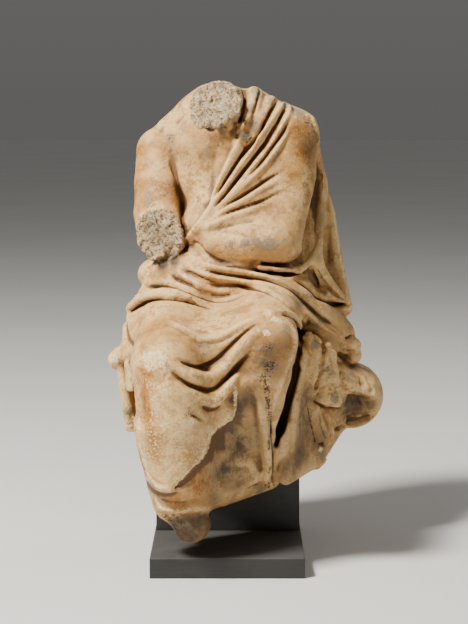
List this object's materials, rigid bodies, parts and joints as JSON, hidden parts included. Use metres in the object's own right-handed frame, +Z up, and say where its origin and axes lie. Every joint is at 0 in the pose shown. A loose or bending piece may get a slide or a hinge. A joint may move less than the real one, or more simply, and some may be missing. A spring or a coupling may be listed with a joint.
{
  "type": "seated marble statuette on a painted mount",
  "caption": "Headless seated figure of a man in a mantle, carved in marble, with broken arm and legs, standing on a grey block and slab mount.",
  "frame": {"origin": "middle of the underside of the mount's foot slab", "axes": "+Z up, the figure faces -Y, +X to the right as seen from the front, so the figure's left side"},
  "size_m": [0.3901, 0.387, 0.6601],
  "materials": {
    "marble": "weathered marble: honey and cream patina, brown in the folds, grey granular breaks, dark specks",
    "mount_paint": "smooth matt warm grey paint"
  },
  "bodies": {
    "root": {"statue": "marble", "mount_upright": "mount_paint", "mount_foot": "mount_paint"}
  },
  "joints": []
}
